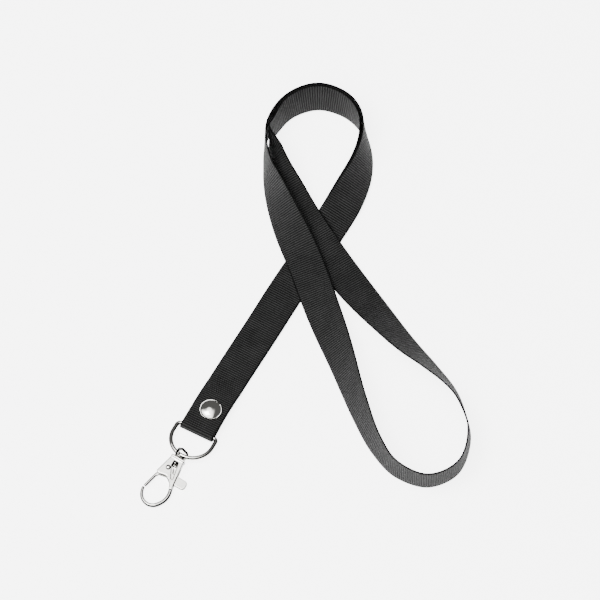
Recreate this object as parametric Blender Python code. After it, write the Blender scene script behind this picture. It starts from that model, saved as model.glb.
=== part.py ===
"""Neck lanyard: one folded webbing strap, a cap rivet, a D-ring and a swivel trigger hook.

The lanyard lies on a table, seen from above with +Z up. The strap's end near the hook points down-left,
runs up-right as a doubled strap, stands on edge round a small arch, crosses over itself and makes the
large neck loop. Sizes in the constants are millimetres and degrees; meshes are made in metres.
"""

import math

import bmesh
import bpy
import numpy as np

MM = 0.001
UP = np.array([0.0, 0.0, 1.0])
LAYOUT_CENTRE = (-0.33, -4.88, -0.133)  # the layout's point that becomes the origin

# Strap
STRAP_WIDTH = 20.0
STRAP_THICKNESS = 0.9
LAYER_PITCH = 1.25  # between the middles of two layers that lie on each other
STANDING_GAP = 0.55  # how much further apart they are where they stand on edge
STEP = 4.0  # spacing of the strap's cross-sections
FOLD_STEPS = 8
SKEW_OF_TAIL = -0.3

# Folded end: its outermost point, and the way the strap leaves it
FOLD_END = (-60.74, -87.97)
STRAP_HEADING = 62.0
BAR_INSET = 2.4  # from the fold's outermost point to the ring's bar
BAR_HEIGHT = 3.4

# D-ring, from the middle of its wire
WIRE_RADIUS = 1.2
RING_HALF_WIDTH = 12.0
RING_SIDE = 5.8  # from the bar to where the bow's half circle starts
RING_CORNER = 2.0
RING_RISE = 2.0  # degrees, because the bow lies on the yoke

# Cap rivet, through all three layers of the folded end
RIVET_DISTANCE = 16.0
RIVET_ASIDE = 0.8
RIVET_POST_RADIUS = 1.5
FIT_GAP = 0.3

# Swivel hook, in its own axes: u along the hook towards its tip, v to its right, n up out of its flat
HOOK_TURN = 5.0
HOOK_DROP = 5.2
EYE_SEAT = 2.3  # from the head's top back to the ring's wire
EYE_ASIDE = -0.8  # along the bow from its middle
EYE_ROLL = 38.0
COLLAR_RADIUS = 3.3
POST_RADIUS = 0.9  # of the swivel's post, and of the foot that keeps it in the head
FOOT_RADIUS = 1.5
HEAD_HALF = 2.1  # half the thickness of the hook's cheeks and the walls round them
SLOT_HALF = 1.1
LEVER_HALF = 0.8
PIVOT = (8.0, -1.6)
PIN_RADIUS = 0.8
SPRING_RADIUS = 0.65
SPRING_WIRE = 0.2
SPRING_TURNS = 5

# Near the fold, as (distance from the fold's outermost point, height of the layer's middle)
TAIL_LAYER = [(26.0, 1.4), (22.0, 2.3), (17.0, 2.6), (12.5, 2.6), (8.0, 2.15)]
TOP_LAYER = [(8.0, 5.25), (12.5, 5.2), (17.0, 5.2), (22.0, 4.9), (28.0, 4.0), (34.0, 2.7), (41.0, 1.85)]
SECOND_LAYER = [(41.0, 0.6), (34.0, 1.3), (28.0, 2.6), (22.0, 3.6), (17.0, 3.9), (12.5, 3.9), (10.0, 3.85)]

# Stations (x, y, bank, lift): the middle of the strap, how far it is rolled from lying flat, with its
# front face turning to the right of the way it runs, and how high its lower edge is off the table.
DOUBLED_LEG = [
    (-34.5, -39.6, 0, 1.25),
    (-23.7, -21.1, 0, 1.25),
    (-11.0, 1.2, 0, 1.25),
    (2.6, 23.7, 0, 1.25),
    (13.2, 41.6, 4, 1.25),
    (22.2, 56.0, 26, 1.2),
]
ARCH = [
    (31.0, 75.0, 57, 0.7),
    (33.2, 89.0, 75, 0.5),
    (30.6, 103.0, 90, 0.3),
    (22.2, 113.1, 101, 0.2),
    (6.5, 118.5, 107, 0.2),
    (-10.0, 112.2, 103, 0.2),
    (-21.6, 96.0, 92, 0.2),
]
FRONT_LEG = [
    (-21.6, 75.0, 79, 0.4),
    (-18.5, 63.5, 63, 1.0),
    (-12.0, 45.0, 40, 1.8),
    (-0.4, 16.5, 9, 3.6),
    (8.7, -11.5, 20, 2.4),
    (19.4, -43.0, 46, 0.3),
    (25.0, -61.5, 58, 0.2),
    (29.4, -75.0, 65, 0.2),
    (38.2, -97.0, 77, 0.2),
]
NECK_LOOP = [
    (49.3, -112.5, 88, 0.2),
    (67.0, -119.8, 95, 0.2),
    (83.3, -111.6, 93, 0.2),
    (89.4, -91.0, 86, 0.2),
]
BACK_LEG = [
    (84.8, -72.5, 77, 0.2),
    (78.5, -61.0, 66, 0.2),
    (67.4, -48.2, 54, 0.2),
    (56.3, -36.5, 42, 0.2),
    (47.4, -25.8, 33, 0.3),
    (25.4, 3.6, 9, 1.3),
    (8.0, 29.0, 0, 3.9),
    (-7.0, 54.0, -13, 3.3),
    (-14.2, 69.5, -42, 1.4),
    (-16.8, 81.5, -68, 0.6),
]


def unit(vector):
    vector = np.asarray(vector, float)
    return vector / np.linalg.norm(vector)


def clear_scene():
    for obj in list(bpy.data.objects):
        bpy.data.objects.remove(obj, do_unlink=True)


def material(name, colour, roughness, metallic):
    made = bpy.data.materials.new(name)
    made.use_nodes = True
    shader = made.node_tree.nodes["Principled BSDF"]
    shader.inputs["Base Color"].default_value = (*colour, 1.0)
    shader.inputs["Roughness"].default_value = roughness
    shader.inputs["Metallic"].default_value = metallic
    return made


def mesh_object(name, points, faces, finish):
    """An object with outward faces, from points in millimetres of the layout."""
    mesh = bpy.data.meshes.new(name)
    mesh.from_pydata([tuple((np.asarray(p) - LAYOUT_CENTRE) * MM) for p in points], [], faces)
    shape = bmesh.new()
    shape.from_mesh(mesh)
    bmesh.ops.recalc_face_normals(shape, faces=shape.faces)
    shape.to_mesh(mesh)
    shape.free()
    mesh.materials.append(finish)
    mesh.shade_smooth()
    mesh.set_sharp_from_angle(angle=math.radians(35))
    made = bpy.data.objects.new(name, mesh)
    bpy.context.scene.collection.objects.link(made)
    return made


def skin(rings, closed=False):
    """Faces over a row of rings with equal numbers of points; caps at both ends unless closed."""
    count, size = len(rings), len(rings[0])
    faces = []
    for i in range(count if closed else count - 1):
        a, b = i * size, (i + 1) % count * size
        for j in range(size):
            k = (j + 1) % size
            faces.append((a + j, a + k, b + k, b + j))
    if not closed:
        faces.append(tuple(range(size))[::-1])
        faces.append(tuple(range((count - 1) * size, count * size)))
    return np.concatenate(rings), faces


def across(ways):
    """Two unit directions square to each way, carried along without twisting."""
    first = unit(np.cross(ways[0], [0.37, 0.61, 0.70]))
    rows = []
    for way in ways:
        first = unit(first - way * np.dot(first, way))
        rows.append((first, np.cross(way, first)))
    return rows


def rod(name, points, radii, finish, sides=12, closed=False):
    """A round bar along a path, with a radius for each of its points."""
    points = np.asarray(points, float)
    if closed:
        ways = np.roll(points, -1, axis=0) - np.roll(points, 1, axis=0)
    else:
        ways = np.gradient(points, axis=0)
    ways = [unit(way) for way in ways]
    turns = [2 * math.pi * i / sides for i in range(sides)]
    rings = []
    for point, radius, (a, b) in zip(points, radii, across(ways)):
        rings.append(np.array([point + radius * (a * math.cos(t) + b * math.sin(t)) for t in turns]))
    return mesh_object(name, *skin(rings, closed), finish)


def turned(name, profile, place, finish, sides=32):
    """A (radius, distance) profile turned about place(distance, a, b)'s first axis, a and b square to it."""
    points, rows = [], []
    for radius, distance in profile:
        if radius < 1e-6:
            rows.append([len(points)] * sides)
            points.append(place(distance, 0.0, 0.0))
            continue
        rows.append(list(range(len(points), len(points) + sides)))
        for i in range(sides):
            angle = 2 * math.pi * i / sides
            points.append(place(distance, radius * math.cos(angle), radius * math.sin(angle)))
    faces = []
    looped = zip(rows, rows[1:] + rows[:1])
    for one, two in looped:
        for i in range(sides):
            j = (i + 1) % sides
            face = list(dict.fromkeys([one[i], one[j], two[j], two[i]]))
            if len(face) > 2:
                faces.append(face)
    return mesh_object(name, points, faces, finish)


def slab(name, outline, low, high, place, finish, bevel=0.0):
    """A flat outline made thick from low to high, put where place(u, v, n) says."""
    rings = [np.array([place(u, v, n) for u, v in outline]) for n in (low, high)]
    made = mesh_object(name, *skin(rings), finish)
    if bevel:
        rounding = made.modifiers.new("rounded_edges", "BEVEL")
        rounding.width = bevel * MM
        rounding.segments = 3
        rounding.limit_method = "ANGLE"
        rounding.angle_limit = math.radians(50)
    return made


def combine(target, other, operation):
    """Cuts other from target, or joins it on, and keeps other as a hidden helper."""
    modifier = target.modifiers.new(operation.lower() + "_" + other.name, "BOOLEAN")
    modifier.operation = operation
    modifier.object = other
    other.hide_render = True
    other.display_type = "WIRE"


def rounded(corners, steps=5):
    """An outline from (x, y, corner radius) rows, with each corner as an arc."""
    outline = []
    count = len(corners)
    for i in range(count):
        x, y, radius = corners[i]
        here = np.array([x, y])
        before = unit(np.array(corners[i - 1][:2]) - here)
        after = unit(np.array(corners[(i + 1) % count][:2]) - here)
        if radius <= 0:
            outline.append(here)
            continue
        half = math.acos(np.clip(np.dot(before, after), -1, 1)) / 2
        centre = here + unit(before + after) * radius / math.sin(half)
        start = here + before * radius / math.tan(half) - centre
        end = here + after * radius / math.tan(half) - centre
        sweep = math.atan2(start[0] * end[1] - start[1] * end[0], np.dot(start, end))
        for step in range(steps + 1):
            angle = sweep * step / steps
            turn = np.array([[math.cos(angle), -math.sin(angle)], [math.sin(angle), math.cos(angle)]])
            outline.append(centre + turn @ start)
    return outline


def smooth_path(knots, step):
    """Centripetal Catmull-Rom curve through rows of numbers whose first three are a place."""
    knots = np.asarray(knots, float)
    knots = np.vstack([2 * knots[0] - knots[1], knots, 2 * knots[-1] - knots[-2]])
    gaps = np.linalg.norm(np.diff(knots[:, :3], axis=0), axis=1)
    times = np.concatenate([[0.0], np.cumsum(np.sqrt(gaps))])
    rows = []
    for i in range(1, len(knots) - 2):
        t0, t1, t2, t3 = times[i - 1 : i + 3]
        p0, p1, p2, p3 = knots[i - 1 : i + 3]
        pieces = max(1, round(gaps[i] / step))
        for t in np.linspace(t1, t2, pieces, endpoint=False):
            a1 = p0 + (p1 - p0) * (t - t0) / (t1 - t0)
            a2 = p1 + (p2 - p1) * (t - t1) / (t2 - t1)
            a3 = p2 + (p3 - p2) * (t - t2) / (t3 - t2)
            b1 = a1 + (a2 - a1) * (t - t0) / (t2 - t0)
            b2 = a2 + (a3 - a2) * (t - t1) / (t3 - t1)
            rows.append(b1 + (b2 - b1) * (t - t1) / (t2 - t1))
    rows.append(knots[-2])
    return np.array(rows)


# ---------------------------------------------------------------- strap


def strap_axes():
    """The way out past the strap's folded end, and the way to its right seen from above."""
    angle = math.radians(STRAP_HEADING)
    back = np.array([-math.cos(angle), -math.sin(angle), 0.0])
    right = np.array([math.sin(angle), -math.cos(angle), 0.0])
    return back, right


def near_fold(distance, height, aside=0.0):
    back, right = strap_axes()
    return np.array([*FOLD_END, height]) - back * distance + right * aside


def standing_height(bank, lift):
    roll = math.radians(bank)
    return lift + STRAP_WIDTH / 2 * abs(math.sin(roll)) + STRAP_THICKNESS / 2 * abs(math.cos(roll))


def station_rows(stations):
    return [(x, y, standing_height(bank, lift), bank) for x, y, bank, lift in stations]


def face_normals(rows):
    """The strap's front-face direction and its width direction at each row (x, y, z, bank)."""
    run = np.gradient(rows[:, :3], axis=0)
    run /= np.linalg.norm(run, axis=1)[:, None]
    flat = run.copy()
    flat[:, 2] = 0.0
    flat /= np.linalg.norm(flat, axis=1)[:, None]
    aside = np.stack([flat[:, 1], -flat[:, 0], np.zeros(len(flat))], axis=1)
    roll = np.radians(rows[:, 3])[:, None]
    width = np.cos(roll) * aside - np.sin(roll) * UP
    front = np.cross(width, run)
    front /= np.linalg.norm(front, axis=1)[:, None]
    return front, np.cross(run, front)


def second_layer_rows(stations):
    """The same stretch run backwards, one layer behind the strap's front layer."""
    rows = smooth_path(station_rows(stations), STEP)
    front, _ = face_normals(rows)
    behind = rows.copy()
    standing = np.sin(np.radians(rows[:, 3:])) ** 2
    behind[:, :3] -= front * (LAYER_PITCH + STANDING_GAP * standing)
    behind[:, 3] *= -1
    return behind[::-1]


def fold_rows():
    """Round the ring's bar, from the tail under it to the layer on top."""
    back, _ = strap_axes()
    bar = near_fold(BAR_INSET, BAR_HEIGHT)
    radius = BAR_INSET - STRAP_THICKNESS / 2
    angles = np.linspace(-90, 90, FOLD_STEPS + 1)
    return [bar + radius * (back * math.cos(a) + UP * math.sin(a)) for a in np.radians(angles)]


def strap_centreline():
    """Middle points and width directions along the whole strap, from its tail to its hidden end."""
    _, right = strap_axes()
    skew = [SKEW_OF_TAIL * i / len(TAIL_LAYER) for i in range(len(TAIL_LAYER), 0, -1)]
    tail = [near_fold(d, h, s) for (d, h), s in zip(TAIL_LAYER, skew)]
    folded = tail + fold_rows() + [near_fold(d, h) for d, h in TOP_LAYER[:3]]
    folded = smooth_path(folded, STEP)
    folded = np.hstack([folded, np.zeros((len(folded), 1))])
    top = [(*near_fold(d, h), 0.0) for d, h in TOP_LAYER[3:]]
    doubled = top + station_rows(DOUBLED_LEG + ARCH)
    out = doubled + station_rows(FRONT_LEG + NECK_LOOP + BACK_LEG)
    out = smooth_path([folded[-1], *out], STEP)[1:]
    back_over = second_layer_rows(DOUBLED_LEG[1:] + ARCH)
    end = [(*near_fold(d, h), 0.0) for d, h in SECOND_LAYER]
    rows = np.vstack([out, smooth_path([out[-1], *back_over, *end], STEP)[1:]])
    _, width = face_normals(rows)
    centres = np.vstack([folded[:, :3], rows[:, :3]])
    widths = np.vstack([np.tile(right, (len(folded), 1)), width])
    return centres, widths


def strap(finish):
    centres, widths = strap_centreline()
    run = np.gradient(centres, axis=0)
    rings = []
    for centre, width, way in zip(centres, widths, run):
        front = unit(np.cross(width, way))
        side = unit(np.cross(way, front)) * STRAP_WIDTH / 2
        half = front * STRAP_THICKNESS / 2
        corners = [-side - half, side - half, side + half, half - side]
        rings.append(np.array([centre + corner for corner in corners]))
    made = mesh_object("strap", *skin(rings), finish)
    low, high = near_fold(RIVET_DISTANCE, 1.8, RIVET_ASIDE), near_fold(RIVET_DISTANCE, 6.0, RIVET_ASIDE)
    hole = rod("rivet_hole", [low, high], [RIVET_POST_RADIUS + FIT_GAP] * 2, finish, sides=24)
    combine(made, hole, "DIFFERENCE")
    return made


# ---------------------------------------------------------------- ring and rivet


def ring_axes():
    """Middle of the ring's bar, the way to its bow, and the bar's own direction."""
    back, right = strap_axes()
    rise = math.radians(RING_RISE)
    return near_fold(BAR_INSET, BAR_HEIGHT), back * math.cos(rise) + UP * math.sin(rise), right


def d_ring(finish):
    bar, out, right = ring_axes()
    inner = RING_HALF_WIDTH - RING_CORNER
    outline = [(0.0, x) for x in np.linspace(-inner, inner, 9)]
    for angle in np.radians(np.linspace(15, 90, 6)):
        outline.append((RING_CORNER * (1 - math.cos(angle)), inner + RING_CORNER * math.sin(angle)))
    for angle in np.radians(np.linspace(0, 180, 31)):
        outline.append((RING_SIDE + RING_HALF_WIDTH * math.sin(angle), RING_HALF_WIDTH * math.cos(angle)))
    for angle in np.radians(np.linspace(90, 15, 6)):
        outline.append((RING_CORNER * (1 - math.cos(angle)), -inner - RING_CORNER * math.sin(angle)))
    points = [bar + out * a + right * b for a, b in outline]
    return rod("d_ring", points, [WIRE_RADIUS] * len(points), finish, sides=14, closed=True)


def rivet(shell_finish, inner_finish):
    def place(distance, a, b):
        return near_fold(RIVET_DISTANCE, distance, RIVET_ASIDE) + np.array([a, b, 0.0])

    dome = [(0, 8.15), (2.1, 8.0), (3.9, 7.55), (5.1, 6.9), (5.6, 6.3), (5.7, 6.0)]
    dome += [(6.1, 6.0), (6.15, 6.35), (5.75, 7.1), (4.4, 7.95), (2.3, 8.45), (0, 8.6)]
    turned("rivet_front_shell", dome, place, shell_finish)
    socket = [(1.9, 6.0), (4.9, 6.0), (4.9, 6.5), (2.6, 6.5), (2.6, 7.4), (1.9, 7.4)]
    turned("rivet_front_socket", socket, place, inner_finish)
    cup = [(0, 0.05), (3.0, 0.05), (4.6, 0.45), (5.2, 1.0), (5.2, 1.65)]
    cup += [(4.8, 1.65), (4.75, 1.1), (4.3, 0.75), (2.8, 0.5), (0, 0.45)]
    turned("rivet_back_shell", cup, place, shell_finish)
    top = 7.0
    post = [(0, 0.85), (3.9, 0.85), (4.35, 1.15), (4.35, 1.5), (RIVET_POST_RADIUS, 1.5)]
    post += [(RIVET_POST_RADIUS, top - 0.4), (RIVET_POST_RADIUS - 0.4, top), (0, top)]
    turned("rivet_back_post", post, place, inner_finish)


# ---------------------------------------------------------------- swivel hook


def eye_seat():
    """The middle of the ring's wire where the eye hangs on it, and the wire's direction there."""
    bar, out, right = ring_axes()
    turn = math.asin(EYE_ASIDE / RING_HALF_WIDTH)
    round_bow = out * math.cos(turn) + right * math.sin(turn)
    return bar + out * RING_SIDE + round_bow * RING_HALF_WIDTH, right * math.cos(turn) - out * math.sin(turn)


def hook_axes():
    """Middle of the head's top, then the hook's u, v and n directions."""
    heading = math.radians(STRAP_HEADING - HOOK_TURN)
    flat = np.array([-math.cos(heading), -math.sin(heading), 0.0])
    drop = math.radians(HOOK_DROP)
    u = flat * math.cos(drop) - UP * math.sin(drop)
    v = unit(np.cross(UP, flat))
    n = np.cross(u, v)
    wire, _ = eye_seat()
    return wire + u * EYE_SEAT, u, v, n


def in_hook(u, v, n):
    middle, along, aside, up = hook_axes()
    return middle + along * u + aside * v + up * n


def in_eye(u, e, m):
    """The yoke's own axes: e across its window and m through it, rolled about the hook's length."""
    roll = math.radians(EYE_ROLL)
    return in_hook(u, -e * math.sin(roll) + m * math.cos(roll), e * math.cos(roll) + m * math.sin(roll))


def swivel_eye(finish):
    outer = rounded([(-0.5, -3.3, 0), (-5.9, -4.3, 2.2), (-5.9, 4.3, 2.2), (-0.5, 3.3, 0)])
    window = rounded([(-0.8, -2.85, 0.5), (-4.4, -3.2, 1.3), (-4.4, 3.2, 1.3), (-0.8, 2.85, 0.5)])
    yoke = slab("yoke_blank", outer, -1.15, 1.15, in_eye, finish)
    combine(yoke, slab("yoke_window", window, -3.0, 3.0, in_eye, finish), "DIFFERENCE")
    stem = [(0, -0.85), (COLLAR_RADIUS - 0.2, -0.85), (COLLAR_RADIUS, -0.7), (COLLAR_RADIUS, -0.45)]
    stem += [(COLLAR_RADIUS - 0.2, -0.3), (POST_RADIUS, -0.3), (POST_RADIUS, 3.3)]
    stem += [(FOOT_RADIUS, 3.3), (FOOT_RADIUS, 3.8), (FOOT_RADIUS - 0.3, 4.1), (0, 4.1)]
    made = turned("swivel_eye", stem, in_hook, finish)
    combine(made, yoke, "UNION")
    return made


def bow_path():
    knots = [(14.0, 4.9), (17.8, 6.2), (21.3, 7.1), (24.8, 6.9), (28.2, 5.4), (30.7, 3.2), (31.7, 0.4)]
    knots += [(31.3, -2.4), (30.0, -4.6), (27.9, -6.3), (25.6, -7.2), (24.1, -7.5)]
    path = smooth_path([(u, v, 0.0) for u, v in knots], 1.4)
    radii = np.interp(np.linspace(0, 1, len(path)), [0, 0.15, 0.5, 0.75, 1], [1.2, 1.15, 1.2, 1.0, 0.85])
    return path, radii


def hook_body(finish):
    head = [(0.9, -3.9, 0), (0.9, 3.9, 0), (8.6, 5.3, 0), (14.5, 6.3, 0), (18.2, 7.2, 0), (18.6, 5.4, 0)]
    head += [(16.6, 4.5, 0), (14.6, 2.8, 1.2), (12.6, 0.0, 2.0), (13.5, -4.0, 1.0), (13.2, -6.3, 0.8)]
    made = slab("hook_body", rounded(head), -HEAD_HALF, HEAD_HALF, in_hook, finish, bevel=0.5)
    shoulder = rounded([(0.0, -4.2, 0.5), (0.0, 4.2, 0.5), (1.3, 4.2, 0.5), (1.3, -4.2, 0.5)])
    combine(made, slab("shoulder", shoulder, -2.35, 2.35, in_hook, finish), "UNION")
    path, radii = bow_path()
    combine(made, rod("bow", [in_hook(*p) for p in path], radii, finish, sides=14), "UNION")
    slot = [(5.2, -9.0), (5.2, 11.0), (15.9, 11.0), (15.9, -9.0)]
    combine(made, slab("lever_slot", slot, -SLOT_HALF, SLOT_HALF, in_hook, finish), "DIFFERENCE")
    window = [(2.7, -0.9), (2.7, 1.6), (5.0, 2.2), (12.7, 4.2), (12.9, 3.2), (5.8, -0.85)]
    combine(made, slab("head_window", window, -0.37, 4.0, in_hook, finish), "DIFFERENCE")
    bore = [(0, -0.5), (POST_RADIUS + FIT_GAP, -0.5), (POST_RADIUS + FIT_GAP, 3.0)]
    bore += [(FOOT_RADIUS + FIT_GAP, 3.0), (FOOT_RADIUS + FIT_GAP, 4.6), (0, 4.6)]
    combine(made, turned("post_bore", bore, in_hook, finish), "DIFFERENCE")
    combine(made, at_pivot("pin_hole", PIN_RADIUS + FIT_GAP, 4.0, finish), "DIFFERENCE")
    return made


def at_pivot(name, radius, half, finish, rim=0.0):
    """A round bar on the gate's pivot, with its ends rounded over by rim."""
    profile = [(0, -half), (radius - rim, -half), (radius, rim - half), (radius, half - rim)]
    profile += [(radius - rim, half), (0, half)]

    def place(distance, a, b):
        return in_hook(PIVOT[0] + a, PIVOT[1] + b, distance)

    return turned(name, list(dict.fromkeys(profile)), place, finish, sides=20)


def gate_lever(finish):
    plate = [(5.9, -3.0, 1.2), (6.1, 0.8, 1.2), (9.5, 2.2, 0.6), (9.6, 12.3, 2.0), (14.9, 12.6, 2.0)]
    plate += [(15.1, 5.4, 0.6), (11.8, 1.6, 1.5), (11.6, -2.6, 0.8)]
    plate += [(15.4, -4.9, 0), (15.6, -6.5, 0), (11.4, -5.3, 1.0)]
    made = slab("gate_lever", rounded(plate), -LEVER_HALF, LEVER_HALF, in_hook, finish)
    path = [in_hook(u, -5.45 - (u - 13.9) * 0.186, 0.0) for u in np.linspace(14.0, 23.4, 7)]
    combine(made, rod("gate", path, [0.9] * len(path), finish, sides=14), "UNION")
    combine(made, at_pivot("lever_hole", PIN_RADIUS + FIT_GAP, 4.0, finish), "DIFFERENCE")
    return made


def gate_pin(finish):
    """A headed pin: the shank through both cheeks, and a domed head on each."""
    high = HEAD_HALF + FIT_GAP
    side = [(PIN_RADIUS, high), (1.4, high), (1.3, high + 0.3), (0.8, high + 0.5), (0, high + 0.55)]
    profile = [(r, -n) for r, n in side[::-1]] + side

    def place(distance, a, b):
        return in_hook(PIVOT[0] + a, PIVOT[1] + b, distance)

    return turned("gate_pin", profile, place, finish, sides=20)


def gate_spring(finish):
    steps = SPRING_TURNS * 12
    path = []
    for i in range(steps + 1):
        angle = 2 * math.pi * SPRING_TURNS * i / steps
        u = 5.7 + 3.2 * i / steps
        path.append(in_hook(u, 3.8 + SPRING_RADIUS * math.cos(angle), SPRING_RADIUS * math.sin(angle)))
    return rod("gate_spring", path, [SPRING_WIRE] * len(path), finish, sides=6)


def main():
    clear_scene()
    webbing = material("black_webbing", (0.02, 0.02, 0.022), 0.8, 0.0)
    nickel = material("bright_nickel", (0.72, 0.72, 0.70), 0.12, 1.0)
    steel = material("plain_steel", (0.55, 0.55, 0.55), 0.3, 1.0)
    strap(webbing)
    d_ring(nickel)
    rivet(nickel, steel)
    swivel_eye(nickel)
    hook_body(nickel)
    gate_lever(nickel)
    gate_pin(nickel)
    gate_spring(steel)


main()
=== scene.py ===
"""Looks of the neck lanyard: ribbed black webbing and nickel-plated hardware on a glowing white table.

Sizes are millimetres in the layout's own axes, as in the CAD model; meshes are made in metres.
"""

import math

import bmesh
import bpy
import numpy as np
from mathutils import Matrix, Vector


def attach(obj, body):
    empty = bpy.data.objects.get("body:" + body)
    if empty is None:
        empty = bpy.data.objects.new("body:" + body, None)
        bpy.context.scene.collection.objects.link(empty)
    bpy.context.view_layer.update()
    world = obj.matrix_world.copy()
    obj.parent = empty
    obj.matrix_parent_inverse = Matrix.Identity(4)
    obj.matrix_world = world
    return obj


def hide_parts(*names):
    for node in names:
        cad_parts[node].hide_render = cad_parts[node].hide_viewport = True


MM = 0.001
UP = np.array([0.0, 0.0, 1.0])
LAYOUT_CENTRE = (-0.33, -4.88, -0.133)  # the layout's point that becomes the origin

# Strap
STRAP_WIDTH = 20.0
STRAP_THICKNESS = 0.9
LAYER_PITCH = 1.25  # between the middles of two layers that lie on each other
STANDING_GAP = 0.55  # how much further apart they are where they stand on edge
STEP = 1.0  # spacing of the strap's cross-sections
HIDDEN_STEP = 4.0  # spacing of the points that guide the hidden second layer
FOLD_STEPS = 16
SKEW_OF_TAIL = -0.3

# Folded end: its outermost point, and the way the strap leaves it
FOLD_END = (-60.74, -87.97)
STRAP_HEADING = 62.0
BAR_INSET = 2.4  # from the fold's outermost point to the ring's bar
BAR_HEIGHT = 3.4

# D-ring, from the middle of its wire
WIRE_RADIUS = 1.2
RING_HALF_WIDTH = 12.0
RING_SIDE = 5.8  # from the bar to where the bow's half circle starts
RING_CORNER = 2.0
RING_RISE = 2.0  # degrees, because the bow lies on the yoke

# Cap rivet
RIVET_DISTANCE = 16.0
RIVET_ASIDE = 0.8
FIT_GAP = 0.3

# Swivel hook, in its own axes: u along the hook towards its tip, v to its right, n up out of its flat
HOOK_TURN = 5.0
HOOK_DROP = 5.2
EYE_SEAT = 2.3  # from the head's top back to the ring's wire
EYE_ASIDE = -0.8  # along the bow from its middle
EYE_ROLL = 38.0
YOKE_HALF = 1.15
COLLAR_RADIUS = 3.3
POST_RADIUS = 0.9  # of the swivel's post, and of the foot that keeps it in the head
FOOT_RADIUS = 1.5
SHOULDER_HALF = 2.4
HEAD_HALF = 2.1  # half the thickness of the hook's cheeks and the walls round them
SLOT_HALF = 1.1
LEVER_HALF = 0.8
PIVOT = (8.0, -1.6)
PIN_RADIUS = 0.8
GATE_RADIUS = 0.9
GATE_SPAN = (14.0, 23.4)  # from the gate's root to its tip, along u

# Near the fold, as (distance from the fold's outermost point, height of the layer's middle)
TAIL_LAYER = [(26.0, 1.4), (22.0, 2.3), (17.0, 2.6), (12.5, 2.6), (8.0, 2.15)]
TOP_LAYER = [(8.0, 5.25), (12.5, 5.2), (17.0, 5.2), (22.0, 4.9), (28.0, 4.0), (34.0, 2.7), (41.0, 1.85)]
SECOND_LAYER = [(41.0, 0.6), (34.0, 1.3), (28.0, 2.6), (22.0, 3.6), (17.0, 3.9), (12.5, 3.9), (10.0, 3.85)]

# Stations (x, y, bank, lift): the middle of the strap, how far it is rolled from lying flat, with its
# front face turning to the right of the way it runs, and how high its lower edge is off the table.
DOUBLED_LEG = [
    (-34.5, -39.6, 0, 1.25),
    (-23.7, -21.1, 0, 1.25),
    (-11.0, 1.2, 0, 1.25),
    (2.6, 23.7, 0, 1.25),
    (13.2, 41.6, 4, 1.25),
    (22.2, 56.0, 26, 1.2),
]
ARCH = [
    (31.0, 75.0, 57, 0.7),
    (33.2, 89.0, 75, 0.5),
    (30.6, 103.0, 90, 0.3),
    (22.2, 113.1, 101, 0.2),
    (6.5, 118.5, 107, 0.2),
    (-10.0, 112.2, 103, 0.2),
    (-21.6, 96.0, 92, 0.2),
]
FRONT_LEG = [
    (-21.6, 75.0, 79, 0.4),
    (-18.5, 63.5, 63, 1.0),
    (-12.0, 45.0, 40, 1.8),
    (-0.4, 16.5, 9, 3.6),
    (8.7, -11.5, 20, 2.4),
    (19.4, -43.0, 46, 0.3),
    (25.0, -61.5, 58, 0.2),
    (29.4, -75.0, 65, 0.2),
    (38.2, -97.0, 77, 0.2),
]
NECK_LOOP = [
    (49.3, -112.5, 88, 0.2),
    (67.0, -119.8, 95, 0.2),
    (83.3, -111.6, 93, 0.2),
    (89.4, -91.0, 86, 0.2),
]
BACK_LEG = [
    (84.8, -72.5, 77, 0.2),
    (78.5, -61.0, 66, 0.2),
    (67.4, -48.2, 54, 0.2),
    (56.3, -36.5, 42, 0.2),
    (47.4, -25.8, 33, 0.3),
    (25.4, 3.6, 9, 1.3),
    (8.0, 29.0, 0, 3.9),
    (-7.0, 54.0, -13, 3.3),
    (-14.2, 69.5, -42, 1.4),
    (-16.8, 81.5, -68, 0.6),
]

# Camera and light
CAMERA_ELEVATION = 63.0
CAMERA_LENS = 1400.0
SENSOR = 36.0
VIEW_WIDTH = 330.6  # millimetres across the picture at the lanyard
AIM = (-3.42, -3.5, 0.0)

TABLE_GLOW = 5.0  # the table is a softly lit panel
TABLE_SIZE = 8.0  # metres
SKY_WHITE = 5.0
SKY_DARK = 0.12
SKY_PATCH = 2.5  # how much brighter the sky is in the lamp patch
PANEL_LOW = (0.6, 0.15)  # the panel's lower edge, as the height of a direction, and its softness
PANEL_BACK = (0.26, 0.15)
PANEL_RIGHT = (0.14, 0.2)
PATCH_TOWARD = (-0.10, 0.31, 0.945)
PATCH_EDGE = (0.988, 0.008)  # the cosine at its edge, and its softness
KEY_PLACE = (-0.35, -0.1, 0.95)
KEY_SIZE = (0.4, 0.4)
KEY_POWER = 6.0

# Plating
NICKEL = (0.80, 0.79, 0.75)
NICKEL_ROUGHNESS = 0.07
NICKEL_WEAR = 0.06
STEEL = (0.5, 0.5, 0.5)
STEEL_ROUGHNESS = 0.28
STEEL_WEAR = 0.12
WAVE_SCALE = 260.0  # of the plating's noises, to the metre
WEAR_SCALE = 2400.0
# Painted reflections: a near-black tone painted on the plating's rounded edges, and on the cast pieces'
# upright sides too, in place of the dark lines they reflect.
PAINTED_REFLECTION_TONE = (0.02, 0.02, 0.02, 1.0)
WIRE_EDGES = (0.95, 0.2)  # flat and side, for dark_edges
CAST_EDGES = (0.985, -0.3)

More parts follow.
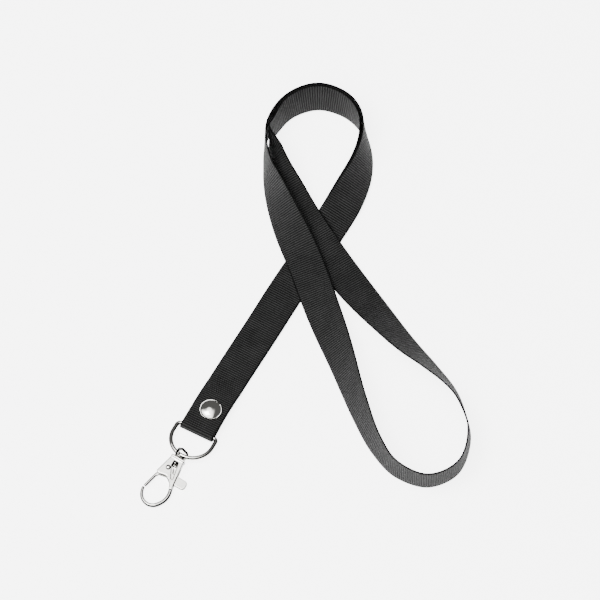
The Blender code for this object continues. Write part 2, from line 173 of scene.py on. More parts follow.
# Webbing's weave
RIB_PITCH = 1.3
YARN_PITCH = 0.55
YARN_DEPTH = 0.35  # the part of a rib's height that its yarns take
HUMP_POWER = 0.6  # below 1 makes ribs and yarns blunter than a sine
FIBRE_SCALE = 2.2  # of the weave's noises, to the millimetre
PATCH_SCALE = 0.09
RIB_SHADE_SHARE = 0.5  # of the ribs, the fibres and the patches in the webbing's tone; the ribs' part is painted shade, dark in the grooves and light on the crests
FIBRE_SHARE = 0.45
PATCH_SHARE = 0.16
# Painted shade: both edges of the strap are painted darker, fading in over the last stretch before the rim.
PAINTED_EDGE_SHADE = 9.45  # from the strap's middle to where the painted shade along its edge is darkest
PAINTED_EDGE_SHADE_FADE = 0.3
PAINTED_EDGE_SHADE_TONE = (0.002, 0.002, 0.002, 1.0)
WEBBING_TONES = [(0.25, (0.0008,) * 3), (0.62, (0.0095,) * 3), (0.95, (0.06,) * 3)]


def unit(vector):
    vector = np.asarray(vector, float)
    return vector / np.linalg.norm(vector)


# ---------------------------------------------------------------- mesh helpers


def mesh_object(name, points, faces, finish, sharp=35):
    mesh = bpy.data.meshes.new(name)
    mesh.from_pydata([tuple((np.asarray(p) - LAYOUT_CENTRE) * MM) for p in points], [], faces)
    shape = bmesh.new()
    shape.from_mesh(mesh)
    bmesh.ops.recalc_face_normals(shape, faces=shape.faces)
    shape.to_mesh(mesh)
    shape.free()
    mesh.materials.append(finish)
    mesh.shade_smooth()
    mesh.set_sharp_from_angle(angle=math.radians(sharp))
    made = bpy.data.objects.new(name, mesh)
    bpy.context.scene.collection.objects.link(made)
    return made


def skin(rings, closed=False):
    """Faces over a row of rings with equal numbers of points; caps at both ends unless closed."""
    count, size = len(rings), len(rings[0])
    faces = []
    for i in range(count if closed else count - 1):
        a, b = i * size, (i + 1) % count * size
        for j in range(size):
            k = (j + 1) % size
            faces.append((a + j, a + k, b + k, b + j))
    if not closed:
        faces.append(tuple(range(size))[::-1])
        faces.append(tuple(range((count - 1) * size, count * size)))
    return np.concatenate(rings), faces


def across(ways):
    """Two unit directions square to each way, carried along without twisting."""
    first = unit(np.cross(ways[0], [0.37, 0.61, 0.70]))
    rows = []
    for way in ways:
        first = unit(first - way * np.dot(first, way))
        rows.append((first, np.cross(way, first)))
    return rows


def rod(name, points, radii, finish, sides=32, closed=False):
    """A round bar along a path, with a radius for each of its points."""
    points = np.asarray(points, float)
    if closed:
        ways = np.roll(points, -1, axis=0) - np.roll(points, 1, axis=0)
    else:
        ways = np.gradient(points, axis=0)
    ways = [unit(way) for way in ways]
    turns = [2 * math.pi * i / sides for i in range(sides)]
    rings = []
    for point, radius, (a, b) in zip(points, radii, across(ways)):
        rings.append(np.array([point + radius * (a * math.cos(t) + b * math.sin(t)) for t in turns]))
    return mesh_object(name, *skin(rings, closed), finish)


def turned(name, profile, place, finish, sides=96):
    """A (radius, distance) profile turned about place(distance, a, b)'s first axis, a and b square to it."""
    points, rows = [], []
    for radius, distance in profile:
        if radius < 1e-6:
            rows.append([len(points)] * sides)
            points.append(place(distance, 0.0, 0.0))
            continue
        rows.append(list(range(len(points), len(points) + sides)))
        for i in range(sides):
            angle = 2 * math.pi * i / sides
            points.append(place(distance, radius * math.cos(angle), radius * math.sin(angle)))
    faces = []
    for one, two in zip(rows, rows[1:] + rows[:1]):
        for i in range(sides):
            j = (i + 1) % sides
            face = list(dict.fromkeys([one[i], one[j], two[j], two[i]]))
            if len(face) > 2:
                faces.append(face)
    return mesh_object(name, points, faces, finish)


def slab(name, outline, low, high, place, finish):
    """A flat outline made thick from low to high, put where place(u, v, n) says."""
    rings = [np.array([place(u, v, n) for u, v in outline]) for n in (low, high)]
    return mesh_object(name, *skin(rings), finish)


def combine(target, other, operation):
    """Cuts other from target, or joins it on, for good."""
    modifier = target.modifiers.new(operation.lower(), "BOOLEAN")
    modifier.operation = operation
    modifier.object = other
    settle(target)
    bpy.data.objects.remove(other, do_unlink=True)


def settle(target):
    """Applies every modifier."""
    graph = bpy.context.evaluated_depsgraph_get()
    made = bpy.data.meshes.new_from_object(target.evaluated_get(graph), depsgraph=graph)
    target.modifiers.clear()
    target.data = made


def cast(target, voxel, passes):
    """Turns sharp joined solids into one with the soft edges of a casting."""
    remesh = target.modifiers.new("remesh", "REMESH")
    remesh.mode = "VOXEL"
    remesh.voxel_size = voxel * MM
    remesh.use_smooth_shade = True
    smooth = target.modifiers.new("smooth", "SMOOTH")
    smooth.factor = 0.5
    smooth.iterations = passes
    settle(target)
    target.data.shade_smooth()


def rounded(corners, steps=8):
    """An outline from (x, y, corner radius) rows, with each corner as an arc."""
    outline = []
    count = len(corners)
    for i in range(count):
        x, y, radius = corners[i]
        here = np.array([x, y])
        before = unit(np.array(corners[i - 1][:2]) - here)
        after = unit(np.array(corners[(i + 1) % count][:2]) - here)
        if radius <= 0:
            outline.append(here)
            continue
        half = math.acos(np.clip(np.dot(before, after), -1, 1)) / 2
        centre = here + unit(before + after) * radius / math.sin(half)
        start = here + before * radius / math.tan(half) - centre
        end = here + after * radius / math.tan(half) - centre
        sweep = math.atan2(start[0] * end[1] - start[1] * end[0], np.dot(start, end))
        for step in range(steps + 1):
            angle = sweep * step / steps
            turn = np.array([[math.cos(angle), -math.sin(angle)], [math.sin(angle), math.cos(angle)]])
            outline.append(centre + turn @ start)
    return outline


def smooth_path(knots, step):
    """Centripetal Catmull-Rom curve through rows of numbers whose first three are a place."""
    knots = np.asarray(knots, float)
    knots = np.vstack([2 * knots[0] - knots[1], knots, 2 * knots[-1] - knots[-2]])
    gaps = np.linalg.norm(np.diff(knots[:, :3], axis=0), axis=1)
    times = np.concatenate([[0.0], np.cumsum(np.sqrt(gaps))])
    rows = []
    for i in range(1, len(knots) - 2):
        t0, t1, t2, t3 = times[i - 1 : i + 3]
        p0, p1, p2, p3 = knots[i - 1 : i + 3]
        pieces = max(1, round(gaps[i] / step))
        for t in np.linspace(t1, t2, pieces, endpoint=False):
            a1 = p0 + (p1 - p0) * (t - t0) / (t1 - t0)
            a2 = p1 + (p2 - p1) * (t - t1) / (t2 - t1)
            a3 = p2 + (p3 - p2) * (t - t2) / (t3 - t2)
            b1 = a1 + (a2 - a1) * (t - t0) / (t2 - t0)
            b2 = a2 + (a3 - a2) * (t - t1) / (t3 - t1)
            rows.append(b1 + (b2 - b1) * (t - t1) / (t2 - t1))
    rows.append(knots[-2])
    return np.array(rows)


# ---------------------------------------------------------------- strap


def strap_axes():
    """Away from the strap's folded end, and to its right seen from above."""
    angle = math.radians(STRAP_HEADING)
    back = np.array([-math.cos(angle), -math.sin(angle), 0.0])
    right = np.array([math.sin(angle), -math.cos(angle), 0.0])
    return back, right


def near_fold(distance, height, aside=0.0):
    """A point on the folded end: how far along it, how high, and how far to its right."""
    back, right = strap_axes()
    return np.array([*FOLD_END, 0.0]) - back * distance + right * aside + UP * height


def standing_height(bank, lift):
    """The height of the strap's middle when its lower edge is at lift."""
    roll = math.radians(bank)
    return lift + STRAP_WIDTH / 2 * abs(math.sin(roll)) + STRAP_THICKNESS / 2 * abs(math.cos(roll))


def station_rows(stations):
    return [(x, y, standing_height(bank, lift), bank) for x, y, bank, lift in stations]


def face_normals(rows):
    """The strap's front-face direction and its width direction at each row (x, y, z, bank)."""
    run = np.gradient(rows[:, :3], axis=0)
    run /= np.linalg.norm(run, axis=1)[:, None]
    flat = run.copy()
    flat[:, 2] = 0.0
    flat /= np.linalg.norm(flat, axis=1)[:, None]
    aside = np.stack([flat[:, 1], -flat[:, 0], np.zeros(len(flat))], axis=1)
    roll = np.radians(rows[:, 3])[:, None]
    width = np.cos(roll) * aside - np.sin(roll) * UP
    front = np.cross(width, run)
    front /= np.linalg.norm(front, axis=1)[:, None]
    return front, np.cross(run, front)


def second_layer_rows(stations):
    """The same stretch run backwards, one layer behind the strap's front layer."""
    rows = smooth_path(station_rows(stations), HIDDEN_STEP)
    front, _ = face_normals(rows)
    behind = rows.copy()
    standing = np.sin(np.radians(rows[:, 3:])) ** 2
    behind[:, :3] -= front * (LAYER_PITCH + STANDING_GAP * standing)
    behind[:, 3] *= -1
    return behind[::-1]


def fold_rows():
    """Round the ring's bar, from the tail under it to the layer on top."""
    back, _ = strap_axes()
    bar = near_fold(BAR_INSET, BAR_HEIGHT)
    radius = BAR_INSET - STRAP_THICKNESS / 2
    angles = np.linspace(-90, 90, FOLD_STEPS + 1)
    return [bar + radius * (back * math.cos(a) + UP * math.sin(a)) for a in np.radians(angles)]


def strap_centreline():
    """Middle points and width directions along the whole strap, from its tail to its hidden end."""
    _, right = strap_axes()
    skew = [SKEW_OF_TAIL * i / len(TAIL_LAYER) for i in range(len(TAIL_LAYER), 0, -1)]
    tail = [near_fold(d, h, s) for (d, h), s in zip(TAIL_LAYER, skew)]
    folded = tail + fold_rows() + [near_fold(d, h) for d, h in TOP_LAYER[:3]]
    folded = smooth_path(folded, STEP)
    folded = np.hstack([folded, np.zeros((len(folded), 1))])
    top = [(*near_fold(d, h), 0.0) for d, h in TOP_LAYER[3:]]
    doubled = top + station_rows(DOUBLED_LEG + ARCH)
    out = doubled + station_rows(FRONT_LEG + NECK_LOOP + BACK_LEG)
    out = smooth_path([folded[-1], *out], STEP)[1:]
    back_over = second_layer_rows(DOUBLED_LEG[1:] + ARCH)
    end = [(*near_fold(d, h), 0.0) for d, h in SECOND_LAYER]
    rows = np.vstack([out, smooth_path([out[-1], *back_over, *end], STEP)[1:]])
    _, width = face_normals(rows)
    centres = np.vstack([folded[:, :3], rows[:, :3]])
    widths = np.vstack([np.tile(right, (len(folded), 1)), width])
    return centres, widths


def strap_section():
    """The strap's cross-section as (across, out) rows: flat faces and rounded edges."""
    half, thick = STRAP_WIDTH / 2, STRAP_THICKNESS / 2
    flat = np.linspace(-half + thick, half - thick, 13)
    turn = np.radians(np.linspace(90, -90, 7))
    right_edge = [(half - thick + thick * math.cos(a), thick * math.sin(a)) for a in turn]
    left_edge = [(-x, -y) for x, y in right_edge]
    section = [(x, thick) for x in flat[1:-1]] + right_edge + [(-x, -thick) for x in flat[1:-1]] + left_edge
    return np.array(section)


def strap(finish):
    centres, widths = strap_centreline()
    run = np.gradient(centres, axis=0)
    section = strap_section()
    rings = []
    for centre, width, way in zip(centres, widths, run):
        front = unit(np.cross(width, way))
        side = unit(np.cross(way, front))
        rings.append(centre + np.outer(section[:, 0], side) + np.outer(section[:, 1], front))
    points, faces = skin(rings)
    made = mesh_object("webbing_strap", points, faces, finish, sharp=60)
    lengths = np.linalg.norm(np.diff(centres, axis=0), axis=1)
    along = np.concatenate([[0.0], np.cumsum(lengths)])
    weave_map(made, section, along)
    return made


def weave_map(made, section, along):
    """A UV map in millimetres: across the strap, and along it."""
    size = len(section)
    layer = made.data.uv_layers.new(name="weave")
    corner = np.empty(len(made.data.loops), int)
    made.data.loops.foreach_get("vertex_index", corner)
    values = np.stack([section[corner % size, 0], along[corner // size]], axis=1)
    layer.data.foreach_set("uv", values.ravel())


# ---------------------------------------------------------------- ring and rivet


def ring_axes():
    """Middle of the ring's bar, the way to its bow, and the bar's own direction."""
    back, right = strap_axes()
    rise = math.radians(RING_RISE)
    return near_fold(BAR_INSET, BAR_HEIGHT), back * math.cos(rise) + UP * math.sin(rise), right


def d_ring(finish):
    bar, out, right = ring_axes()
    inner = RING_HALF_WIDTH - RING_CORNER
    outline = [(0.0, x) for x in np.linspace(-inner, inner, 25)]
    for angle in np.radians(np.linspace(7.5, 90, 12)):
        outline.append((RING_CORNER * (1 - math.cos(angle)), inner + RING_CORNER * math.sin(angle)))
    for angle in np.radians(np.linspace(0, 180, 121)):
        outline.append((RING_SIDE + RING_HALF_WIDTH * math.sin(angle), RING_HALF_WIDTH * math.cos(angle)))
    for angle in np.radians(np.linspace(90, 7.5, 12)):
        outline.append((RING_CORNER * (1 - math.cos(angle)), -inner - RING_CORNER * math.sin(angle)))
    points = [bar + out * a + right * b for a, b in outline]
    return rod("steel_d_ring", points, [WIRE_RADIUS] * len(points), finish, closed=True)


def rivet(finish):
    def place(distance, a, b):
        return near_fold(RIVET_DISTANCE, distance, RIVET_ASIDE) + np.array([a, b, 0.0])

    crown = [(6.15 * math.sin(t), 6.3 + 2.3 * math.cos(t)) for t in np.radians(np.linspace(0, 78, 30))]
    rim = [(6.12, 6.62), (6.15, 6.35), (6.12, 6.1), (6.0, 6.0), (5.7, 6.0), (5.6, 6.3)]
    hollow = [(5.1, 6.9), (3.9, 7.55), (2.1, 8.0), (0, 8.15)]
    front = turned("rivet_cap", crown + rim + hollow, place, finish)
    cup = [(0, 0.05), (3.0, 0.05), (3.8, 0.12), (4.6, 0.42), (5.05, 0.8), (5.2, 1.2), (5.2, 1.6), (5.1, 1.65)]
    cup += [(4.9, 1.65), (4.8, 1.6), (4.75, 1.1), (4.3, 0.75), (2.8, 0.5), (0, 0.45)]
    back = turned("rivet_back_cap", cup, place, finish)
    return front, back


# ---------------------------------------------------------------- swivel hook


def eye_seat():
    """The middle of the ring's wire where the eye hangs on it, and the wire's direction there."""
    bar, out, right = ring_axes()
    turn = math.asin(EYE_ASIDE / RING_HALF_WIDTH)
    round_bow = out * math.cos(turn) + right * math.sin(turn)
    return bar + out * RING_SIDE + round_bow * RING_HALF_WIDTH, right * math.cos(turn) - out * math.sin(turn)


def hook_axes():
    """Middle of the head's top, then the hook's u, v and n directions."""
    heading = math.radians(STRAP_HEADING - HOOK_TURN)
    flat = np.array([-math.cos(heading), -math.sin(heading), 0.0])
    drop = math.radians(HOOK_DROP)
    u = flat * math.cos(drop) - UP * math.sin(drop)
    v = unit(np.cross(UP, flat))
    n = np.cross(u, v)
    wire, _ = eye_seat()
    return wire + u * EYE_SEAT, u, v, n


def in_hook(u, v, n):
    """A point from the hook's own axes."""
    middle, along, aside, up = hook_axes()
    return middle + along * u + aside * v + up * n


def in_eye(u, e, m):
    """The yoke's own axes: e across its window and m through it, rolled about the hook's length."""
    roll = math.radians(EYE_ROLL)
    return in_hook(u, -e * math.sin(roll) + m * math.cos(roll), e * math.cos(roll) + m * math.sin(roll))


def swivel_eye(finish):
    outer = rounded([(-0.5, -3.3, 0), (-5.9, -4.3, 2.2), (-5.9, 4.3, 2.2), (-0.5, 3.3, 0)])
    window = rounded([(-0.8, -2.85, 0.5), (-4.4, -3.2, 1.3), (-4.4, 3.2, 1.3), (-0.8, 2.85, 0.5)])
    yoke = slab("yoke_blank", outer, -YOKE_HALF, YOKE_HALF, in_eye, finish)
    combine(yoke, slab("yoke_window", window, -3.0, 3.0, in_eye, finish), "DIFFERENCE")
    stem = [(0, -0.85), (COLLAR_RADIUS - 0.2, -0.85), (COLLAR_RADIUS, -0.7), (COLLAR_RADIUS, -0.45)]
    stem += [(COLLAR_RADIUS - 0.2, -0.3), (POST_RADIUS, -0.3), (POST_RADIUS, 3.3)]
    stem += [(FOOT_RADIUS, 3.3), (FOOT_RADIUS, 3.8), (FOOT_RADIUS - 0.3, 4.1), (0, 4.1)]
    made = turned("hook_eye", stem, in_hook, finish)
    combine(made, yoke, "UNION")
    cast(made, 0.1, 10)
    return made


def bow_path():
    """The hook's bow, from the head round to its nose, and its radius at each point."""
    knots = [(14.0, 4.9), (17.8, 6.2), (21.3, 7.1), (24.8, 6.9), (28.2, 5.4), (30.7, 3.2), (31.7, 0.4)]
    knots += [(31.3, -2.4), (30.0, -4.6), (27.9, -6.3), (25.6, -7.2), (24.1, -7.5)]
    path = smooth_path([(u, v, 0.0) for u, v in knots], 0.4)
    radii = np.interp(np.linspace(0, 1, len(path)), [0, 0.15, 0.5, 0.75, 1], [1.2, 1.15, 1.2, 1.0, 0.85])
    return path, radii


def hook_body(finish):
    head = [(0.9, -3.9, 0), (0.9, 3.9, 0), (8.6, 5.3, 0), (14.5, 6.3, 0), (18.2, 7.2, 0), (18.6, 5.4, 0)]
    head += [(16.6, 4.5, 0), (14.6, 2.8, 1.2), (12.6, 0.0, 2.0), (13.5, -4.0, 1.0), (13.2, -6.3, 0.8)]
    made = slab("trigger_hook", rounded(head), -HEAD_HALF, HEAD_HALF, in_hook, finish)
    shoulder = rounded([(0.0, -4.2, 0.5), (0.0, 4.2, 0.5), (1.3, 4.2, 0.5), (1.3, -4.2, 0.5)])
    combine(made, slab("shoulder", shoulder, -SHOULDER_HALF, SHOULDER_HALF, in_hook, finish), "UNION")
    path, radii = bow_path()
    combine(made, rod("bow", [in_hook(*p) for p in path], radii, finish), "UNION")
    slot = [(5.2, -9.0), (5.2, 11.0), (15.9, 11.0), (15.9, -9.0)]
    combine(made, slab("lever_slot", slot, -SLOT_HALF, SLOT_HALF, in_hook, finish), "DIFFERENCE")
    window = [(2.7, -0.9), (2.7, 1.6), (5.0, 2.2), (12.7, 4.2), (12.9, 3.2), (5.8, -0.85)]
    combine(made, slab("head_window", window, -0.37, 4.0, in_hook, finish), "DIFFERENCE")
    bore = [(0, -0.5), (POST_RADIUS + FIT_GAP, -0.5), (POST_RADIUS + FIT_GAP, 3.0)]
    bore += [(FOOT_RADIUS + FIT_GAP, 3.0), (FOOT_RADIUS + FIT_GAP, 4.6), (0, 4.6)]
    combine(made, turned("post_bore", bore, in_hook, finish), "DIFFERENCE")
    cast(made, 0.13, 36)
    return made


def gate_lever(finish):
    plate = [(5.9, -3.0, 1.2), (6.1, 0.8, 1.2), (9.5, 2.2, 0.6), (9.6, 12.3, 2.0), (14.9, 12.6, 2.0)]
    plate += [(15.1, 5.4, 0.6), (11.8, 1.6, 1.5), (11.6, -2.6, 0.8)]
    plate += [(15.4, -4.9, 0), (15.6, -6.5, 0), (11.4, -5.3, 1.0)]
    made = slab("thumb_gate", rounded(plate), -LEVER_HALF, LEVER_HALF, in_hook, finish)
    path = [in_hook(u, -5.45 - (u - 13.9) * 0.186, 0.0) for u in np.linspace(*GATE_SPAN, 24)]
    combine(made, rod("gate", path, [GATE_RADIUS] * len(path), finish), "UNION")
    cast(made, 0.11, 30)
    return made


def gate_pin(finish):
    """A headed pin: the shank through both cheeks, and a domed head on each."""
    high = HEAD_HALF + FIT_GAP
    side = [(PIN_RADIUS, high), (1.35, high), (1.4, high + 0.08), (1.3, high + 0.22), (1.1, high + 0.37)]
    side += [(0.85, high + 0.48), (0.55, high + 0.55), (0.25, high + 0.58), (0, high + 0.6)]
    profile = [(r, -n) for r, n in side[::-1]] + side

    def place(distance, a, b):
        return in_hook(PIVOT[0] + a, PIVOT[1] + b, distance)

    return turned("hinge_pin", profile, place, finish, sides=48)


# ---------------------------------------------------------------- materials


class Nodes:
    """Short ways to add and join shader nodes."""

    def __init__(self, name):
        self.material = bpy.data.materials.new(name)
        self.material.use_nodes = True
        self.tree = self.material.node_tree
        self.shader = self.tree.nodes["Principled BSDF"]

    def join(self, value, socket):
        if isinstance(value, bpy.types.NodeSocket):
            self.tree.links.new(value, socket)
        else:
            socket.default_value = value

    def add(self, kind, **inputs):
        node = self.tree.nodes.new(kind)
        for name, value in inputs.items():
            self.join(value, node.inputs[name.replace("_", " ")])
        return node

    def math(self, operation, a, b=0.0, clamp=False):
        node = self.tree.nodes.new("ShaderNodeMath")
        node.operation = operation
        node.use_clamp = clamp
        self.join(a, node.inputs[0])
        self.join(b, node.inputs[1])
        return node.outputs[0]

    def noise(self, vector, scale, detail=2.0, roughness=0.5):
        node = self.add("ShaderNodeTexNoise", Vector=vector, Scale=scale, Detail=detail, Roughness=roughness)
        return node.outputs["Fac"]

    def ramp(self, value, stops):
        node = self.add("ShaderNodeValToRGB", Fac=value)
        while len(node.color_ramp.elements) < len(stops):
            node.color_ramp.elements.new(0.5)
        for element, (place, colour) in zip(node.color_ramp.elements, stops):
            element.position = place
            element.color = (*colour, 1.0)
        return node.outputs["Color"]

    def mix(self, share, colour, other):
        node = self.tree.nodes.new("ShaderNodeMix")
        node.data_type = "RGBA"
        self.join(share, node.inputs[0])
        self.join(colour, node.inputs[6])
        self.join(other, node.inputs[7])
        return node.outputs[2]

    def dark_edges(self, flat, side):
        """1 where a surface has turned away from the piece's flat, and 0 again on its upright sides.

        Flat and side are the heights of the surface's normal where that starts and ends. A side
        below zero keeps it on the upright sides too. These are painted stand-ins for the dark
        lines that such edges reflect, which the glowing table washes out.
        """
        normal = self.tree.nodes.new("ShaderNodeTexCoord").outputs["Normal"]
        upright = self.math("ABSOLUTE", self.add("ShaderNodeSeparateXYZ", Vector=normal).outputs["Z"])
        turned_over = self.add("ShaderNodeMapRange", Value=upright, From_Min=flat, From_Max=flat - 0.07)
        still_tilted = self.add("ShaderNodeMapRange", Value=upright, From_Min=side, From_Max=side + 0.2)
        return self.math("MULTIPLY", turned_over.outputs["Result"], still_tilted.outputs["Result"])

    def humps(self, phase):
        """Blunt humps, one to each whole step of the phase."""
        wave = self.math("ABSOLUTE", self.math("SINE", self.math("MULTIPLY", phase, math.pi)))
        return self.math("POWER", wave, HUMP_POWER)

    def bump(self, height, strength, distance):
        node = self.add("ShaderNodeBump", Height=height, Strength=strength, Distance=distance)
        return node.outputs["Normal"]


def weave_height(nodes, across_it, along_it):
    """Ribs across the strap, each broken up by yarns that start half a yarn over on the next rib."""
    rib_phase = nodes.math("DIVIDE", along_it, RIB_PITCH)
    half_steps = nodes.math("MULTIPLY", nodes.math("FLOOR", rib_phase), 0.5)
    yarn_phase = nodes.math("ADD", nodes.math("DIVIDE", across_it, YARN_PITCH), half_steps)
    yarns = nodes.math("MULTIPLY", nodes.humps(yarn_phase), YARN_DEPTH)
    return nodes.math("MULTIPLY", nodes.humps(rib_phase), nodes.math("ADD", yarns, 1 - YARN_DEPTH))


def webbing():
    """Ribbed polyester webbing, with painted shade in the grooves of its weave and along both edges."""
    nodes = Nodes("black_webbing")
    uv = nodes.tree.nodes.new("ShaderNodeUVMap")
    uv.uv_map = "weave"
    split = nodes.add("ShaderNodeSeparateXYZ", Vector=uv.outputs["UV"])
    across_it, along_it = split.outputs["X"], split.outputs["Y"]
    height = weave_height(nodes, across_it, along_it)
    fibre = nodes.noise(uv.outputs["UV"], FIBRE_SCALE, 4.0, 0.7)
    patches = nodes.noise(uv.outputs["UV"], PATCH_SCALE, 3.0, 0.6)
    # Painted shade: the weave's height darkens the grooves between ribs and yarns and lightens their crests;
    # fibres and patches add random tone.
    shade = nodes.math("MULTIPLY", height, RIB_SHADE_SHARE)
    shade = nodes.math("ADD", shade, nodes.math("MULTIPLY", fibre, FIBRE_SHARE))
    shade = nodes.math("ADD", shade, nodes.math("MULTIPLY", patches, PATCH_SHARE))
    colour = nodes.ramp(shade, WEBBING_TONES)
    # Painted shade along both edges of the strap.
    off_middle = nodes.math("ABSOLUTE", across_it)
    inner = PAINTED_EDGE_SHADE - PAINTED_EDGE_SHADE_FADE
    edge_shade = nodes.add("ShaderNodeMapRange", Value=off_middle, From_Min=inner, From_Max=PAINTED_EDGE_SHADE)
    colour = nodes.mix(edge_shade.outputs["Result"], colour, PAINTED_EDGE_SHADE_TONE)
    nodes.join(colour, nodes.shader.inputs["Base Color"])
    nodes.shader.inputs["Roughness"].default_value = 0.72
    nodes.shader.inputs["Specular IOR Level"].default_value = 0.06
    relief = nodes.math("ADD", height, nodes.math("MULTIPLY", fibre, 0.25))
    nodes.join(nodes.bump(relief, 1.0, 0.0005), nodes.shader.inputs["Normal"])
    return nodes.material


def plated(name, colour, roughness, wear, edges=None):
    """Bright plating: faint waviness, patchy polish and fine wear; edges is for dark_edges, which paints dark
    reflection lines into the colour.
    """
    nodes = Nodes(name)
    place = nodes.tree.nodes.new("ShaderNodeTexCoord").outputs["Object"]
    soft = nodes.noise(place, WAVE_SCALE, 2.0)
    fine = nodes.noise(place, WEAR_SCALE, 3.0, 0.6)
    polish = nodes.math("ADD", nodes.math("MULTIPLY", fine, wear), roughness - wear * 0.4)
    nodes.join(polish, nodes.shader.inputs["Roughness"])
    tone = nodes.ramp(soft, [(0.25, tuple(c * 0.93 for c in colour)), (0.75, colour)])
    if edges:
        # Painted reflections: dark lines where the surface turns away from the piece's flat.
        tone = nodes.mix(nodes.dark_edges(*edges), tone, PAINTED_REFLECTION_TONE)
    nodes.join(tone, nodes.shader.inputs["Base Color"])
    nodes.shader.inputs["Metallic"].default_value = 1.0
    waves = nodes.math("ADD", nodes.math("MULTIPLY", soft, 0.8), nodes.math("MULTIPLY", fine, 0.06))
    nodes.join(nodes.bump(waves, 0.25, 0.00025), nodes.shader.inputs["Normal"])
    return nodes.material


def floor_finish():
    """The table: a white panel that glows softly."""
    nodes = Nodes("pale_floor")
    nodes.shader.inputs["Base Color"].default_value = (0.9, 0.9, 0.9, 1.0)
    nodes.shader.inputs["Emission Color"].default_value = (1.0, 1.0, 1.0, 1.0)
    nodes.shader.inputs["Emission Strength"].default_value = TABLE_GLOW
    nodes.shader.inputs["Roughness"].default_value = 0.9
    nodes.shader.inputs["Specular IOR Level"].default_value = 0.1
    return nodes.material


# ---------------------------------------------------------------- stage


def layout_point(point):
    return Vector((np.asarray(point, float) - LAYOUT_CENTRE) * MM)


def camera():
    data = bpy.data.cameras.new("camera")
    data.lens = CAMERA_LENS
    data.sensor_width = SENSOR
    made = bpy.data.objects.new("camera", data)
    bpy.context.scene.collection.objects.link(made)
    rise = math.radians(CAMERA_ELEVATION)
    back = Vector((0.0, -math.cos(rise), math.sin(rise)))
    distance = VIEW_WIDTH * MM * CAMERA_LENS / SENSOR
    made.location = layout_point(AIM) + back * distance
    made.rotation_mode = "QUATERNION"
    made.rotation_quaternion = (-back).to_track_quat("-Z", "Y")
    data.clip_start = distance / 10
    data.clip_end = distance * 10
    bpy.context.scene.camera = made


def area_light(name, place, size, power):
    data = bpy.data.lights.new(name, "AREA")
    data.shape = "RECTANGLE"
    data.size, data.size_y = size
    data.energy = power
    made = bpy.data.objects.new(name, data)
    bpy.context.scene.collection.objects.link(made)
    made.location = place
    made.rotation_mode = "QUATERNION"
    made.rotation_quaternion = (-Vector(place)).to_track_quat("-Z", "Y")
    return made


def floor():
    half = TABLE_SIZE / 2
    corners = [(-half, -half, 0), (half, -half, 0), (half, half, 0), (-half, half, 0)]
    mesh = bpy.data.meshes.new("floor")
    mesh.from_pydata(corners, [], [(0, 1, 2, 3)])
    mesh.materials.append(floor_finish())
    made = bpy.data.objects.new("floor", mesh)
    bpy.context.scene.collection.objects.link(made)


class SkyNodes:
    """Masks of the direction that light comes from."""

    def __init__(self, tree):
        self.tree = tree
        place = tree.nodes.new("ShaderNodeTexCoord").outputs["Generated"]
        split = tree.nodes.new("ShaderNodeSeparateXYZ")
        tree.links.new(place, split.inputs[0])
        self.direction = split.outputs
        self.place = place

    def toward(self, direction, edge, soft):
        """1 within a cone round a direction, whose cosine is edge."""
        node = self.tree.nodes.new("ShaderNodeVectorMath")
        node.operation = "DOT_PRODUCT"
        self.tree.links.new(self.place, node.inputs[0])
        node.inputs[1].default_value = unit(direction)
        return self.above(node.outputs["Value"], edge, soft)

    def above(self, value, edge, soft=0.05):
        """0 below the edge and 1 above it."""
        node = self.tree.nodes.new("ShaderNodeMapRange")
        node.interpolation_type = "SMOOTHSTEP"
        self.tree.links.new(value, node.inputs["Value"])
        node.inputs["From Min"].default_value = edge - soft
        node.inputs["From Max"].default_value = edge + soft
        return node.outputs["Result"]

    def below(self, value, edge, soft=0.05):
        return self.combine("SUBTRACT", 1.0, self.above(value, edge, soft))

    def combine(self, operation, a, b):
        node = self.tree.nodes.new("ShaderNodeMath")
        node.operation = operation
        for value, socket in ((a, node.inputs[0]), (b, node.inputs[1])):
            if isinstance(value, bpy.types.NodeSocket):
                self.tree.links.new(value, socket)
            else:
                socket.default_value = value
        return node.outputs[0]


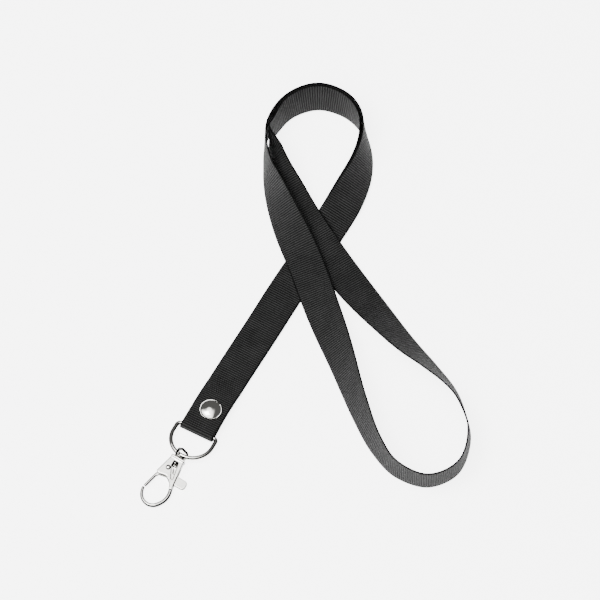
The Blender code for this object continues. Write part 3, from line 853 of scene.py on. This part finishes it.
def surroundings():
    """A dark room with one soft white panel overhead, and a brighter lamp patch at the panel's edge."""
    world = bpy.data.worlds.new("studio")
    world.use_nodes = True
    sky = SkyNodes(world.node_tree)
    x, y, z = sky.direction[0], sky.direction[1], sky.direction[2]
    panel = sky.combine("MULTIPLY", sky.above(z, *PANEL_LOW), sky.below(y, *PANEL_BACK))
    panel = sky.combine("MULTIPLY", panel, sky.below(x, *PANEL_RIGHT))
    patch = sky.toward(PATCH_TOWARD, *PATCH_EDGE)
    strength = sky.combine("MULTIPLY", panel, SKY_WHITE)
    strength = sky.combine("ADD", strength, sky.combine("MULTIPLY", patch, SKY_PATCH))
    strength = sky.combine("ADD", strength, SKY_DARK)
    background = world.node_tree.nodes["Background"]
    background.inputs["Color"].default_value = (1.0, 1.0, 1.0, 1.0)
    world.node_tree.links.new(strength, background.inputs["Strength"])
    bpy.context.scene.world = world


def stage():
    camera()
    floor()
    surroundings()
    area_light("key_softbox", KEY_PLACE, KEY_SIZE, KEY_POWER)


# ---------------------------------------------------------------- put together


def dress(piece, body, slot, *nodes):
    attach(piece, body)
    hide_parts(*nodes)


def repaint(node, finish):
    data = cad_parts[node].data
    data.materials.clear()
    data.materials.append(finish)


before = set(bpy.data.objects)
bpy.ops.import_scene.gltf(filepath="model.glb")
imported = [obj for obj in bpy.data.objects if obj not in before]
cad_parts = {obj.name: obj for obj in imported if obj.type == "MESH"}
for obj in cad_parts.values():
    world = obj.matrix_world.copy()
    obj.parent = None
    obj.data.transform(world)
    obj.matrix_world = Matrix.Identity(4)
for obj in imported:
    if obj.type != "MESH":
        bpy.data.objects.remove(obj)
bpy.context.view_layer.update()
cloth = webbing()
# The nickel finishes differ only in their painted dark reflection lines: on rounded edges, on upright sides
# as well for the cast pieces, and none on the rivet's caps.
nickel = plated("bright_nickel", NICKEL, NICKEL_ROUGHNESS, NICKEL_WEAR, WIRE_EDGES)
cast_nickel = plated("cast_nickel", NICKEL, NICKEL_ROUGHNESS, NICKEL_WEAR, CAST_EDGES)
cap_nickel = plated("cap_nickel", NICKEL, NICKEL_ROUGHNESS, NICKEL_WEAR)
steel = plated("plain_steel", STEEL, STEEL_ROUGHNESS, STEEL_WEAR)
stage()

band = strap(cloth)
dress(band, "strap_end", "webbing", "strap")
dress(d_ring(nickel), "ring", "bright_nickel", "d_ring")
cap, back_cap = rivet(cap_nickel)
dress(cap, "strap_end", "bright_nickel", "rivet_front_shell")
dress(back_cap, "strap_end", "bright_nickel", "rivet_back_shell")
dress(swivel_eye(nickel), "eye", "bright_nickel", "swivel_eye")
dress(hook_body(cast_nickel), "hook", "bright_nickel", "hook_body")
dress(gate_lever(cast_nickel), "gate", "bright_nickel", "gate_lever")
dress(gate_pin(nickel), "hook", "bright_nickel", "gate_pin")
for node in ("rivet_front_socket", "rivet_back_post", "gate_spring"):
    repaint(node, steel)
